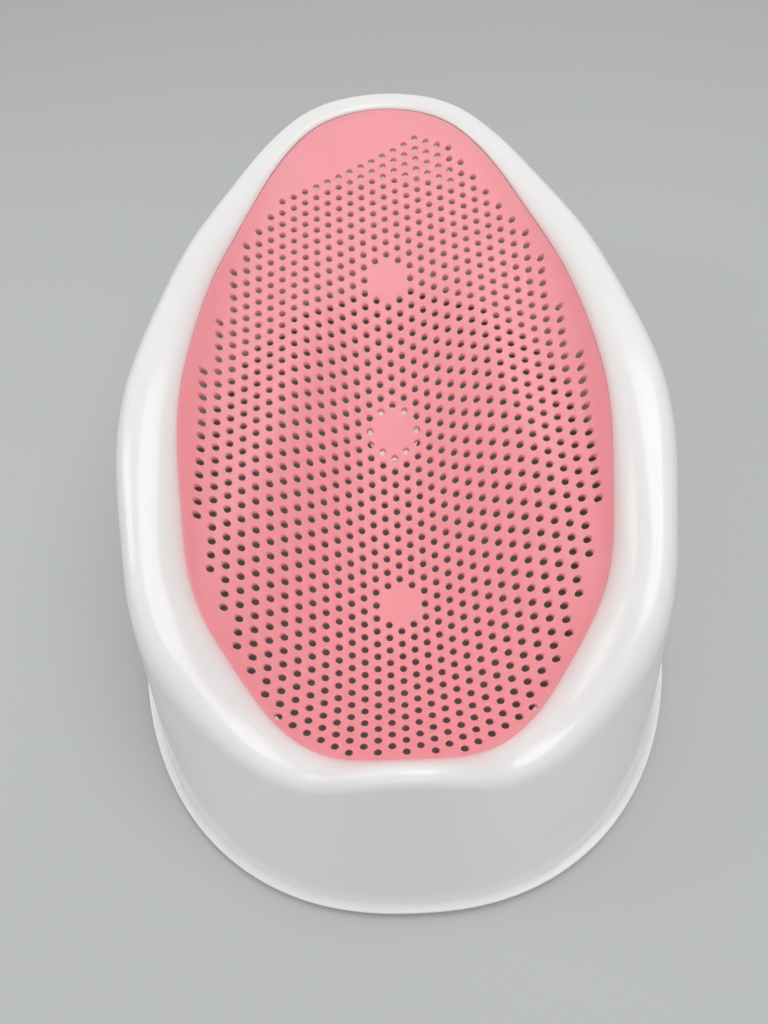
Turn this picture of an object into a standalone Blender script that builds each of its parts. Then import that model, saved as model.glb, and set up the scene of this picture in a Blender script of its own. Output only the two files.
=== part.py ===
"""Reclined bath support for a baby, as separate pieces.

A hard white shell with a rolled rim stands on four soft feet. A soft perforated seat lies in
the shell's opening on a stiff ring, which is screwed to the shell's ledge from below.

Metres. +Z is up and +Y points to the head end. The origin is on the floor, at the middle of
the length and the width. Angles are in degrees, measured around the Z axis from the head
end (0) to the foot end (180), and the same on both sides.
"""

import math

import bmesh
import bpy
import numpy as np
from mathutils import Matrix, Vector

# Overall sizes
LENGTH = 0.586
RIM_WIDTH = 0.366
BASE_WIDTH = 0.399

# Clearances between pieces
GAP = 0.0003
STANDING_GAP = 0.002

# Base of the shell: a rounded outline of two halves, joined where it is widest
BASE_WIDEST_Y = -0.060
BASE_HEAD_INSET = 0.003
BASE_ROUNDNESS = 2.3
LIP_HEIGHT = 0.009
LIP_STEP = 0.006
WALL_THICKNESS = 0.003

# Outer edge of the rim, as shares of half the rim's width and half the length
RIM_OUTLINE = (
    (0.0, 1.0),
    (0.392, 0.896),
    (0.644, 0.690),
    (0.801, 0.494),
    (0.891, 0.314),
    (1.0, 0.0),
    (0.992, -0.160),
    (0.952, -0.334),
    (0.872, -0.532),
    (0.661, -0.700),
    (0.359, -0.812),
    (0.0, -0.833),
)
# Width of the rim between its outer edge and the seat, by angle
RIM_BAND = (
    (0, 0.021),
    (30, 0.033),
    (60, 0.034),
    (90, 0.0405),
    (120, 0.0425),
    (148, 0.042),
    (166, 0.027),
    (180, 0.022),
)
# Height of the rim's crest above the seat's edge, by angle
RIM_RISE = ((0, 0.0045), (45, 0.0115), (90, 0.014), (135, 0.017), (165, 0.012), (180, 0.012))
# Rounding of the rim's outer side, as shares of the rim's width
ROLL_WIDTH_SHARE = 0.42
ROLL_DROP_SHARE = 0.60
# Hump of the rim at the foot end
PUMMEL_RISE = 0.024
PUMMEL_HALF_WIDTH = 0.058
PUMMEL_SHAPE = 2.4

# Top surface of the seat: a trough between two straight shelves (height at places along Y)
TROUGH_LINE = (
    (-0.220, 0.098),
    (-0.180, 0.068),
    (-0.135, 0.0555),
    (-0.085, 0.062),
    (-0.025, 0.084),
    (0.045, 0.114),
    (0.125, 0.158),
    (0.260, 0.200),
)
SHELF_LINE = (
    (-0.220, 0.104),
    (-0.135, 0.112),
    (-0.045, 0.129),
    (0.055, 0.151),
    (0.155, 0.176),
    (0.260, 0.205),
)
TROUGH_HALF_WIDTH = ((-0.200, 0.133), (-0.070, 0.118), (0.070, 0.077), (0.210, 0.066))
TROUGH_SHAPE = 2.3
EDGE_RISE_ENDS = 0.004
EDGE_RISE_SIDES = 0.032
EDGE_REACH = 0.015
SEAT_THICKNESS = 0.003

# Small holes of the seat, in staggered columns that end in a gable at the head
HOLE_RADIUS = 0.00285
HOLE_SIDES = 5
COLUMN_SPACING = 0.0175
ROW_SPACING = 0.0188
HOLE_MARGIN = 0.012
HOLES_END_Y = 0.2296
PLAIN_DISC_RADIUS = 0.0155
PLAIN_DISCS_Y = (0.126, 0.0228, -0.0994)

# Stiff ring under the seat's border, the ledge that carries it, and its screws
FRAME_THICKNESS = 0.0032
FRAME_WIDTH = 0.0075
SCREW_ANGLES = (12, 38, 66, 98, 132, 166)
SCREW_RADIUS = 0.00125
SCREW_HEAD_RADIUS = 0.0028
SCREW_HEAD_HEIGHT = 0.0022
SCREW_HEAD_FACE_RADIUS = 0.002
SCREW_TIP_RADIUS = 0.0006
SCREW_PAD_RADIUS = 0.0036
SCREW_PAD_HEIGHT = 0.002

# White collar that hangs under the middle plain disc, clipped on a rib of the seat
COLLAR_Y = PLAIN_DISCS_Y[1]
COLLAR_RADIUS = 0.019
COLLAR_WALL = 0.0034
COLLAR_BOTTOM = 0.078
COLLAR_LIP = 0.0018
RIB_WALL = 0.0025
RIB_BEAD_HEIGHT = 0.003

# Soft feet: a disc with a stem that plugs into a boss inside the base
FOOT_ANGLES = (42, 142)
FOOT_RADIUS = 0.010
FOOT_DISC_HEIGHT = 0.004
FOOT_BEVEL = 0.001
STEM_RADIUS = 0.004
STEM_LENGTH = 0.008
BOSS_RADIUS = 0.011
BOSS_HEIGHT = 0.010
BOSS_INSET = 0.0195

# Openings through the shell's wall
HANG_SLOT_WIDTH = 0.126
HANG_SLOT_TOP_WIDTH = 0.080
HANG_SLOT_HEIGHT = 0.043
HANG_SLOT_BOTTOM = 0.133
HANG_SLOT_CORNER = 0.008
HANG_SLOT_CUT_DEPTH = 0.054
SIDE_SLOT_LENGTH = 0.064
SIDE_SLOT_HEIGHT = 0.030
SIDE_SLOT_Y = 0.130
SIDE_SLOT_Z = 0.091

# Fineness of the curved pieces
STATIONS = 60
WALL_ROWS = 3
ROLL_ROWS = 4
SEAT_RINGS = 8
ROUND_SIDES = 20
BORE_SIDES = 8


def smooth_curve(points, level_ends=False):
    """Cubic curve through the points, level or straight at its ends."""
    xs = np.array([point[0] for point in points], dtype=float)
    ys = np.array([point[1] for point in points], dtype=float)
    count = len(xs)
    step = np.diff(xs)
    slope = np.diff(ys) / step
    matrix = np.zeros((count, count))
    right = np.zeros(count)
    for i in range(1, count - 1):
        matrix[i, i - 1 : i + 2] = step[i - 1], 2 * (step[i - 1] + step[i]), step[i]
        right[i] = 6 * (slope[i] - slope[i - 1])
    if level_ends:
        matrix[0, :2] = 2 * step[0], step[0]
        matrix[-1, -2:] = step[-1], 2 * step[-1]
        right[0] = 6 * slope[0]
        right[-1] = -6 * slope[-1]
    else:
        matrix[0, 0] = matrix[-1, -1] = 1
    bend = np.linalg.solve(matrix, right)
    start_slope = slope[0] - step[0] * (2 * bend[0] + bend[1]) / 6
    end_slope = slope[-1] + step[-1] * (bend[-2] + 2 * bend[-1]) / 6

    def value(x):
        if x <= xs[0]:
            return ys[0] + (x - xs[0]) * start_slope
        if x >= xs[-1]:
            return ys[-1] + (x - xs[-1]) * end_slope
        i = int(np.searchsorted(xs, x)) - 1
        t = x - xs[i]
        linear = slope[i] - step[i] * (2 * bend[i] + bend[i + 1]) / 6
        return ys[i] + t * linear + t * t * bend[i] / 2 + t**3 * (bend[i + 1] - bend[i]) / (6 * step[i])

    return value


def polar_outline(points):
    """Radius by angle of a half outline that is given by its points."""
    return smooth_curve([(math.degrees(math.atan2(x, y)), math.hypot(x, y)) for x, y in points], True)


rim_radius_at = polar_outline([(x * RIM_WIDTH / 2, y * LENGTH / 2) for x, y in RIM_OUTLINE])
rim_band_at = smooth_curve(RIM_BAND, True)
rim_rise_at = smooth_curve(RIM_RISE, True)
trough_at = smooth_curve(TROUGH_LINE)
shelf_at = smooth_curve(SHELF_LINE)
trough_half_width_at = smooth_curve(TROUGH_HALF_WIDTH)


def seat_edge_radius(angle):
    return rim_radius_at(angle) - rim_band_at(angle)


def seat_height(x, y):
    """Height of the seat's top surface over a place on the floor."""
    angle = math.degrees(math.atan2(abs(x), y))
    share = min(abs(x) / trough_half_width_at(y), 1.0)
    trough = (1 - share**TROUGH_SHAPE) ** 2
    shelf = shelf_at(y)
    from_edge = seat_edge_radius(angle) - math.hypot(x, y)
    side = math.sin(math.radians(angle)) ** 2
    rise = EDGE_RISE_ENDS + (EDGE_RISE_SIDES - EDGE_RISE_ENDS) * side
    return shelf - (shelf - trough_at(y)) * trough + rise * math.exp(-from_edge / EDGE_REACH)


def seat_normal(x, y):
    delta = 0.0005
    slope_x = (seat_height(x + delta, y) - seat_height(x - delta, y)) / (2 * delta)
    slope_y = (seat_height(x, y + delta) - seat_height(x, y - delta)) / (2 * delta)
    return Vector((-slope_x, -slope_y, 1)).normalized()


def seat_point(direction, inset, depth):
    """Point a depth below the seat's surface, an inset inside its edge. Direction is 0 to 360."""
    radius = seat_edge_radius(half_angle(direction)) - inset
    x, y = on_ray(direction, radius)
    return Vector((x, y, seat_height(x, y))) - depth * seat_normal(x, y)


def half_angle(direction):
    return direction if direction <= 180 else 360 - direction


def on_ray(direction, radius):
    return radius * math.sin(math.radians(direction)), radius * math.cos(math.radians(direction))


def base_radius(angle):
    """Radius of the base's outer edge, found along a ray from the origin."""
    head_length = LENGTH / 2 - BASE_HEAD_INSET - BASE_WIDEST_Y
    foot_length = LENGTH / 2 + BASE_WIDEST_Y
    low = 0.0
    high = LENGTH
    for _ in range(40):
        middle = (low + high) / 2
        x, y = on_ray(angle, middle)
        along = y - BASE_WIDEST_Y
        reach = head_length if along >= 0 else foot_length
        inside = (x / (BASE_WIDTH / 2)) ** BASE_ROUNDNESS + (abs(along) / reach) ** BASE_ROUNDNESS < 1
        low, high = (middle, high) if inside else (low, middle)
    return low


def crest_height(angle):
    x, y = on_ray(angle, seat_edge_radius(angle))
    share = min(abs(x) / PUMMEL_HALF_WIDTH, 1.0) if y < 0 else 1.0
    pummel = PUMMEL_RISE * (1 - share**PUMMEL_SHAPE) ** 2
    return seat_height(x, y) + rim_rise_at(angle) + pummel


def ledge_depth():
    return SEAT_THICKNESS + FRAME_THICKNESS + 2 * GAP


def roll_start(foot, rim, crest_radius, shoulder, crest):
    """Turn on the rim's rounding at which the straight wall meets it without an edge."""
    start = 0.0
    for _ in range(12):
        radius = crest_radius + (rim - crest_radius) * math.cos(start)
        height = shoulder + (crest - shoulder) * math.sin(start)
        lean = (foot - radius) / (height - LIP_HEIGHT)
        start = math.atan(lean * (crest - shoulder) / (rim - crest_radius))
    return start


def wall_rows(foot, radius, height):
    """Points of the straight wall between the lip and the rim's rounding."""
    rows = []
    for row in range(WALL_ROWS):
        share = row / WALL_ROWS
        rows.append((foot + (radius - foot) * share, LIP_HEIGHT + (height - LIP_HEIGHT) * share))
    return rows


def shell_station(direction):
    """Points of the shell's outer face on one ray, from the floor over the rim to the ledge."""
    angle = half_angle(direction)
    lip = base_radius(angle)
    rim = rim_radius_at(angle)
    edge = seat_edge_radius(angle)
    edge_height = seat_height(*on_ray(angle, edge))
    crest = crest_height(angle)
    crest_radius = rim - ROLL_WIDTH_SHARE * rim_band_at(angle)
    shoulder = crest - ROLL_DROP_SHARE * rim_band_at(angle)
    rows = [(lip, STANDING_GAP), (lip, LIP_HEIGHT)]
    start = roll_start(lip - LIP_STEP, rim, crest_radius, shoulder, crest)
    for row in range(ROLL_ROWS + 1):
        turn = start + (math.pi / 2 - start) * row / ROLL_ROWS
        radius = crest_radius + (rim - crest_radius) * math.cos(turn)
        height = shoulder + (crest - shoulder) * math.sin(turn)
        if row == 0:
            rows += wall_rows(lip - LIP_STEP, radius, height)
        rows.append((radius, height))
    for turn in (60, 30, 0):
        radius = crest_radius - (crest_radius - edge) * math.cos(math.radians(turn))
        rows.append((radius, edge_height + (crest - edge_height) * math.sin(math.radians(turn))))
    points = [Vector((*on_ray(direction, radius), height)) for radius, height in rows]
    points.append(seat_point(direction, 0.0, ledge_depth()))
    points.append(seat_point(direction, FRAME_WIDTH, ledge_depth()))
    return points


def directions(count=STATIONS):
    return [360 * i / count for i in range(count)]


def new_object(name, mesh_or_bmesh, collection, material=None):
    if isinstance(mesh_or_bmesh, bmesh.types.BMesh):
        mesh = bpy.data.meshes.new(name)
        mesh_or_bmesh.to_mesh(mesh)
        mesh_or_bmesh.free()
    else:
        mesh = mesh_or_bmesh
    thing = bpy.data.objects.new(name, mesh)
    if material:
        mesh.materials.append(material)
    collection.objects.link(thing)
    return thing


def loft(bm, stations, closed_section):
    """Quads between neighbouring stations, which run once around the piece."""
    rows = [[bm.verts.new(point) for point in station] for station in stations]
    for i, row in enumerate(rows):
        following = rows[(i + 1) % len(rows)]
        count = len(row) if closed_section else len(row) - 1
        for j in range(count):
            k = (j + 1) % len(row)
            bm.faces.new((row[j], following[j], following[k], row[k]))
    bmesh.ops.recalc_face_normals(bm, faces=bm.faces)
    return rows


def add_turned(bm, profile, sides, placement):
    """Solid of revolution about Z with flat ends. The profile is (radius, height), bottom to top."""
    rings = []
    for radius, height in profile:
        ring = []
        for i in range(sides):
            turn = 2 * math.pi * i / sides
            place = placement @ Vector((radius * math.cos(turn), radius * math.sin(turn), height))
            ring.append(bm.verts.new(place))
        rings.append(ring)
    for lower, upper in zip(rings, rings[1:]):
        for i in range(sides):
            k = (i + 1) % sides
            bm.faces.new((lower[i], lower[k], upper[k], upper[i]))
    bm.faces.new(list(reversed(rings[0])))
    bm.faces.new(rings[-1])


def add_prism(bm, outline, depth_vector):
    """Straight prism of a flat outline of points, pushed along the vector."""
    front = [bm.verts.new(point) for point in outline]
    back = [bm.verts.new(point + depth_vector) for point in outline]
    for i in range(len(outline)):
        k = (i + 1) % len(outline)
        bm.faces.new((front[i], front[k], back[k], back[i]))
    bm.faces.new(list(reversed(front)))
    bm.faces.new(back)
    bmesh.ops.recalc_face_normals(bm, faces=bm.faces)


def boolean(target, tool, operation):
    modifier = target.modifiers.new(operation.title(), "BOOLEAN")
    modifier.operation = operation
    modifier.object = tool
    modifier.solver = "EXACT"
    tool.hide_render = True
    tool.display_type = "WIRE"


def make_material(name, colour, roughness, coat=0.0):
    material = bpy.data.materials.new(name)
    material.use_nodes = True
    shader = material.node_tree.nodes["Principled BSDF"]
    shader.inputs["Base Color"].default_value = (*colour, 1)
    shader.inputs["Roughness"].default_value = roughness
    shader.inputs["Metallic"].default_value = 0.0
    shader.inputs["Coat Weight"].default_value = coat
    material.diffuse_color = (*colour, 1)
    return material


def screw_placement(direction):
    """Frame of a screw: its origin on the seat's surface and its Z axis along the normal."""
    top = seat_point(direction, FRAME_WIDTH / 2, 0.0)
    normal = seat_normal(top.x, top.y)
    return Matrix.Translation(top) @ normal.to_track_quat("Z", "Y").to_matrix().to_4x4()


def screw_directions():
    return list(SCREW_ANGLES) + [360 - angle for angle in reversed(SCREW_ANGLES)]


def foot_placement(direction):
    radius = base_radius(half_angle(direction)) - BOSS_INSET
    return Matrix.Translation((*on_ray(direction, radius), 0.0))


def foot_directions():
    return list(FOOT_ANGLES) + [360 - angle for angle in reversed(FOOT_ANGLES)]


def boss_bottom():
    return FOOT_DISC_HEIGHT + GAP


def add_hang_slot(bm):
    """Opening in the wall behind the head: a trapezoid with cut corners."""
    low = HANG_SLOT_BOTTOM
    high = low + HANG_SLOT_HEIGHT
    wide = HANG_SLOT_WIDTH / 2
    narrow = HANG_SLOT_TOP_WIDTH / 2
    cut = HANG_SLOT_CORNER
    half = [(wide - cut, low), (wide, low + cut), (narrow + cut, high - cut), (narrow, high)]
    outline = half + [(-x, z) for x, z in reversed(half)]
    behind = LENGTH / 2 + HANG_SLOT_CUT_DEPTH / 3
    add_prism(bm, [Vector((x, behind, z)) for x, z in outline], Vector((0, -HANG_SLOT_CUT_DEPTH, 0)))


def add_side_slots(bm):
    """Oval finger openings through both side walls."""
    flat = (SIDE_SLOT_LENGTH - SIDE_SLOT_HEIGHT) / 2
    radius = SIDE_SLOT_HEIGHT / 2
    outline = []
    for end, start in ((flat, -90), (-flat, 90)):
        for step in range(7):
            turn = math.radians(start + 30 * step)
            outline.append((end + radius * math.cos(turn), radius * math.sin(turn)))
    inner = RIM_WIDTH / 4
    for side in (-1, 1):
        place = [Vector((side * inner, SIDE_SLOT_Y + along, SIDE_SLOT_Z + up)) for along, up in outline]
        add_prism(bm, place, Vector((side * BASE_WIDTH / 2, 0, 0)))


def make_shell(collection, cutters, material):
    bm = bmesh.new()
    loft(bm, [shell_station(direction) for direction in directions()], False)
    highest = max(bm.faces, key=lambda face: face.calc_center_median().z)
    if highest.normal.z < 0:
        bmesh.ops.reverse_faces(bm, faces=bm.faces)
    shell = new_object("bath_shell", bm, collection, material)
    wall = shell.modifiers.new("Wall", "SOLIDIFY")
    wall.thickness = WALL_THICKNESS
    wall.offset = -1
    wall.use_even_offset = True
    wall.use_quality_normals = True

    added = bmesh.new()
    for direction in foot_directions():
        profile = [(BOSS_RADIUS, boss_bottom()), (BOSS_RADIUS, boss_bottom() + BOSS_HEIGHT)]
        add_turned(added, profile, ROUND_SIDES, foot_placement(direction))
    ledge_under = ledge_depth() + WALL_THICKNESS
    for direction in screw_directions():
        profile = [
            (SCREW_PAD_RADIUS, -ledge_under - SCREW_PAD_HEIGHT),
            (SCREW_PAD_RADIUS, -ledge_depth() - WALL_THICKNESS / 2),
        ]
        add_turned(added, profile, ROUND_SIDES // 2, screw_placement(direction))
    boolean(shell, new_object("shell_bosses", added, cutters), "UNION")

    cuts = bmesh.new()
    for direction in foot_directions():
        profile = [(STEM_RADIUS + GAP, 0.0), (STEM_RADIUS + GAP, FOOT_DISC_HEIGHT + STEM_LENGTH + GAP)]
        add_turned(cuts, profile, 2 * BORE_SIDES, foot_placement(direction))
    for direction in screw_directions():
        bore = SCREW_RADIUS + GAP
        profile = [
            (bore, -ledge_under - 2 * SCREW_PAD_HEIGHT),
            (bore, -ledge_depth() + FRAME_THICKNESS / 2),
        ]
        add_turned(cuts, profile, BORE_SIDES, screw_placement(direction))
    add_hang_slot(cuts)
    add_side_slots(cuts)
    boolean(shell, new_object("shell_cuts", cuts, cutters), "DIFFERENCE")
    return shell


def hole_places():
    """Centres of the seat's holes: staggered columns inside the border, round the plain discs."""
    places = []
    columns = int(RIM_WIDTH / 2 / COLUMN_SPACING) + 1
    rows = int(LENGTH / 2 / ROW_SPACING) + 1
    gable_slope = ROW_SPACING / 2 / COLUMN_SPACING
    for column in range(-columns, columns + 1):
        shift = ROW_SPACING / 2 if column % 2 else 0.0
        for row in range(-rows, rows + 1):
            x = column * COLUMN_SPACING
            y = PLAIN_DISCS_Y[1] + row * ROW_SPACING + shift
            angle = math.degrees(math.atan2(abs(x), y))
            if math.hypot(x, y) > seat_edge_radius(angle) - HOLE_MARGIN:
                continue
            if y > HOLES_END_Y - gable_slope * abs(x):
                continue
            if min(math.hypot(x, y - disc) for disc in PLAIN_DISCS_Y) < PLAIN_DISC_RADIUS:
                continue
            places.append((x, y))
    return places


def ring_share(t):
    """Share of the seat's radius for its rings, which close up at the middle and at the edge."""
    return t / 2 + (1 - math.cos(math.pi * t)) / 4


def make_seat(collection, cutters, material):
    bm = bmesh.new()
    shares = [ring_share((i + 1) / SEAT_RINGS) for i in range(SEAT_RINGS)]
    stations = []
    for direction in directions():
        reach = seat_edge_radius(half_angle(direction)) - GAP
        insets = [GAP + reach * (1 - share) for share in shares]
        top = [seat_point(direction, inset, 0.0) for inset in insets]
        bottom = [seat_point(direction, inset, SEAT_THICKNESS) for inset in reversed(insets)]
        stations.append(top + bottom)
    rows = loft(bm, stations, False)
    for column, depth in ((0, 0.0), (-1, SEAT_THICKNESS)):
        centre = Vector((0, 0, seat_height(0, 0))) - depth * seat_normal(0, 0)
        hub = bm.verts.new(centre)
        for i, row in enumerate(rows):
            bm.faces.new((row[column], rows[(i + 1) % len(rows)][column], hub))
    bmesh.ops.recalc_face_normals(bm, faces=bm.faces)
    seat = new_object("mesh_seat", bm, collection, material)

    rib = bmesh.new()
    centre_height = seat_height(0, COLLAR_Y)
    outer = COLLAR_RADIUS - COLLAR_WALL - GAP
    neck = outer - COLLAR_LIP
    bead_top = collar_lip_height() - GAP
    profile = [
        (outer, bead_top - RIB_BEAD_HEIGHT),
        (outer, bead_top),
        (neck, bead_top),
        (neck, centre_height - SEAT_THICKNESS / 2),
    ]
    add_turned(rib, profile, ROUND_SIDES, Matrix.Translation((0, COLLAR_Y, 0)))
    lift_rib_top(rib, centre_height - SEAT_THICKNESS / 2)
    boolean(seat, new_object("seat_rib", rib, cutters), "UNION")

    cuts = bmesh.new()
    for x, y in hole_places():
        height = seat_height(x, y)
        profile = [
            (HOLE_RADIUS, height - 5 * SEAT_THICKNESS),
            (HOLE_RADIUS, height + 3 * SEAT_THICKNESS),
        ]
        add_turned(cuts, profile, HOLE_SIDES, Matrix.Translation((x, y, 0)))
    bore = neck - RIB_WALL
    hollow = [(bore, bead_top - 2 * RIB_BEAD_HEIGHT), (bore, collar_lip_height() + GAP)]
    add_turned(cuts, hollow, ROUND_SIDES, Matrix.Translation((0, COLLAR_Y, 0)))
    boolean(seat, new_object("seat_holes", cuts, cutters), "DIFFERENCE")
    return seat


def lift_rib_top(bm, level):
    """Slant the rib's upper end so that it stays inside the seat's sheet."""
    for vert in bm.verts:
        if abs(vert.co.z - level) < GAP:
            vert.co.z = seat_height(vert.co.x, vert.co.y) - SEAT_THICKNESS / 2


def collar_top_height(x, y):
    slant = seat_normal(x, y).z
    return seat_height(x, y) - (SEAT_THICKNESS + GAP) / slant


def collar_lip_height():
    return collar_top_height(0, COLLAR_Y - COLLAR_RADIUS) - COLLAR_LIP


def make_collar(collection, material):
    inner = COLLAR_RADIUS - COLLAR_WALL
    throat = inner - COLLAR_LIP
    lip = collar_lip_height()
    stations = []
    for direction in directions(2 * ROUND_SIDES):
        section = [(COLLAR_RADIUS, COLLAR_BOTTOM), (COLLAR_RADIUS, None), (throat, None)]
        section += [(throat, lip), (inner, lip), (inner, COLLAR_BOTTOM)]
        points = []
        for radius, height in section:
            x, y = on_ray(direction, radius)
            y += COLLAR_Y
            points.append(Vector((x, y, collar_top_height(x, y) if height is None else height)))
        stations.append(points)
    bm = bmesh.new()
    loft(bm, stations, True)
    return new_object("centre_collar", bm, collection, material)


def make_frame(collection, cutters, material):
    top = SEAT_THICKNESS + GAP
    bottom = top + FRAME_THICKNESS
    stations = []
    for direction in directions():
        corners = ((GAP, top), (GAP, bottom), (FRAME_WIDTH, bottom), (FRAME_WIDTH, top))
        stations.append([seat_point(direction, inset, depth) for inset, depth in corners])
    bm = bmesh.new()
    loft(bm, stations, True)
    frame = new_object("seat_frame", bm, collection, material)
    cuts = bmesh.new()
    for direction in screw_directions():
        bore = SCREW_RADIUS + GAP
        profile = [(bore, -bottom - FRAME_THICKNESS), (bore, -top + FRAME_THICKNESS)]
        add_turned(cuts, profile, BORE_SIDES, screw_placement(direction))
    boolean(frame, new_object("frame_bores", cuts, cutters), "DIFFERENCE")
    return frame


def make_screws(collection, material):
    bm = bmesh.new()
    seat_level = -(ledge_depth() + WALL_THICKNESS + SCREW_PAD_HEIGHT + GAP)
    tip = -(SEAT_THICKNESS + 3 * GAP)
    profile = [
        (SCREW_HEAD_FACE_RADIUS, seat_level - SCREW_HEAD_HEIGHT),
        (SCREW_HEAD_RADIUS, seat_level - SCREW_HEAD_HEIGHT / 2),
        (SCREW_HEAD_RADIUS, seat_level),
        (SCREW_RADIUS, seat_level),
        (SCREW_RADIUS, tip - SCREW_RADIUS),
        (SCREW_TIP_RADIUS, tip),
    ]
    add_turned(bm, profile, ROUND_SIDES // 2, Matrix.Identity(4))
    mesh = bpy.data.meshes.new("frame_screw")
    bm.to_mesh(mesh)
    bm.free()
    mesh.materials.append(material)
    for number, direction in enumerate(screw_directions(), start=1):
        screw = new_object(f"frame_screw_{number:02d}", mesh, collection)
        screw.matrix_world = screw_placement(direction)


def make_feet(collection, material):
    bm = bmesh.new()
    profile = [
        (FOOT_RADIUS - FOOT_BEVEL, 0.0),
        (FOOT_RADIUS, FOOT_BEVEL),
        (FOOT_RADIUS, FOOT_DISC_HEIGHT),
        (STEM_RADIUS, FOOT_DISC_HEIGHT),
        (STEM_RADIUS, FOOT_DISC_HEIGHT + STEM_LENGTH),
    ]
    add_turned(bm, profile, ROUND_SIDES, Matrix.Identity(4))
    mesh = bpy.data.meshes.new("foot_pad")
    bm.to_mesh(mesh)
    bm.free()
    mesh.materials.append(material)
    for place, direction in zip(("head_right", "foot_right", "foot_left", "head_left"), foot_directions()):
        foot = new_object(f"foot_pad_{place}", mesh, collection)
        foot.matrix_world = foot_placement(direction)


def clear_scene():
    for thing in list(bpy.data.objects):
        bpy.data.objects.remove(thing, do_unlink=True)


def main():
    clear_scene()
    parts = bpy.data.collections.new("bath_support")
    cutters = bpy.data.collections.new("cutters")
    bpy.context.scene.collection.children.link(parts)
    bpy.context.scene.collection.children.link(cutters)

    white = make_material("white_gloss_shell", (0.86, 0.86, 0.84), 0.22, 0.3)
    pink = make_material("pink_soft_seat", (1.0, 0.36, 0.40), 0.5)
    frame_white = make_material("white_frame", (0.80, 0.80, 0.78), 0.45)
    steel = make_material("screw_steel", (0.60, 0.61, 0.62), 0.3)
    steel.node_tree.nodes["Principled BSDF"].inputs["Metallic"].default_value = 1.0
    grey = make_material("grey_soft_foot", (0.55, 0.56, 0.56), 0.7)

    make_shell(parts, cutters, white)
    make_seat(parts, cutters, pink)
    make_frame(parts, cutters, frame_white)
    make_collar(parts, frame_white)
    make_screws(parts, steel)
    make_feet(parts, grey)


main()
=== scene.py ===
"""Looks of a reclined baby bath support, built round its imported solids.

A glossy white shell with a rolled rim carries a soft pink perforated seat on a stiff ring. Metres,
+Z up, +Y to the head end, origin on the floor under the middle. Angles are in degrees round the Z
axis, from the head end (0) to the foot end (180), and the same on both sides.
"""

import math

import bmesh
import bpy
import numpy as np
from bpy.props import FloatProperty, FloatVectorProperty, IntProperty, PointerProperty
from mathutils import Matrix, Vector


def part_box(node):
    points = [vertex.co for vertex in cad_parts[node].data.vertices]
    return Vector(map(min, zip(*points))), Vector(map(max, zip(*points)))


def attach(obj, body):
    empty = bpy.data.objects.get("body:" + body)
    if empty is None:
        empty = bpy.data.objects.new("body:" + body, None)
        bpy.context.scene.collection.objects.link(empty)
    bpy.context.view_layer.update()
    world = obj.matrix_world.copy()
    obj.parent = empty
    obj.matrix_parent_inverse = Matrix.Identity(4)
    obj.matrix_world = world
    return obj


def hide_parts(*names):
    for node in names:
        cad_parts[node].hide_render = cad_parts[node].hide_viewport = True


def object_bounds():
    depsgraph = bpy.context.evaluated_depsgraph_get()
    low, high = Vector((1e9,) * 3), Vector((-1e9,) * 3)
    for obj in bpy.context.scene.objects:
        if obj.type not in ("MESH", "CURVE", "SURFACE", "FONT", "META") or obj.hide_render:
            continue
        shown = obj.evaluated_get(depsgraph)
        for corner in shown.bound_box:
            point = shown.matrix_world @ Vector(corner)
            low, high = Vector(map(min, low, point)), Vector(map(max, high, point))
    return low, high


bl_info = {
    "name": "Baby bath support",
    "version": (1, 0, 0),
    "blender": (4, 5, 0),
    "location": "3D View > Sidebar > Bath support",
    "description": "White bath shell, perforated seat, fittings and stage",
    "category": "Add Mesh",
}

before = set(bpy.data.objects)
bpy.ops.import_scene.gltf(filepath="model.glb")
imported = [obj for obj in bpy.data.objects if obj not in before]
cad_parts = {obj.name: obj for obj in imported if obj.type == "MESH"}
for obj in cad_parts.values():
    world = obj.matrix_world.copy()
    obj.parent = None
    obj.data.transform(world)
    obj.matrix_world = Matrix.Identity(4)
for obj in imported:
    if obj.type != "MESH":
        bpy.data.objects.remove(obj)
CAD_LOW, CAD_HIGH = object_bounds()
BODY = "root"

# Overall sizes, from the solids
LENGTH = CAD_HIGH.y - CAD_LOW.y
BASE_WIDTH = CAD_HIGH.x - CAD_LOW.x
RIM_WIDTH = 0.366
GAP = 0.0003
STANDING_GAP = 0.002

# Base of the shell: a rounded outline of two halves, joined where it is widest
BASE_WIDEST_Y = -0.060
BASE_HEAD_INSET = 0.003
BASE_ROUNDNESS = 2.3
BASE_HALVINGS = 40
LIP_HEIGHT = 0.009
LIP_STEP = 0.006
LIP_EDGE = 0.0012
LIP_FILLET_SHARE = 0.3
WALL_STEPS = 12
WALL_END_SHARE = 0.95

# Outer edge of the rim, as shares of half the rim's width and half the length
RIM_OUTLINE = (
    (0.0, 1.0), (0.392, 0.896), (0.644, 0.690), (0.801, 0.494), (0.891, 0.314), (1.0, 0.0),
    (0.992, -0.160), (0.952, -0.334), (0.872, -0.532), (0.661, -0.700), (0.359, -0.812),
    (0.0, -0.833),
)
# Width of the rim between its outer edge and the seat, by angle
RIM_BAND = (
    (0, 0.021), (30, 0.033), (60, 0.034), (90, 0.0405), (120, 0.0425), (148, 0.042), (166, 0.027),
    (180, 0.022),
)
# Height of the rim's crest above the seat's edge, by angle
RIM_RISE = ((0, 0.0045), (45, 0.0115), (90, 0.014), (135, 0.017), (165, 0.012), (180, 0.012))
# Rounding of the rim's outer side, as shares of the rim's width
ROLL_WIDTH_SHARE = 0.42
ROLL_DROP_SHARE = 0.60
ROLL_STEPS = 15
ROLL_INNER_STEP = 6
ROLL_TRIES = 12
# Hump of the rim at the foot end
PUMMEL_RISE = 0.024
PUMMEL_HALF_WIDTH = 0.058
PUMMEL_SHAPE = 2.4

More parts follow.
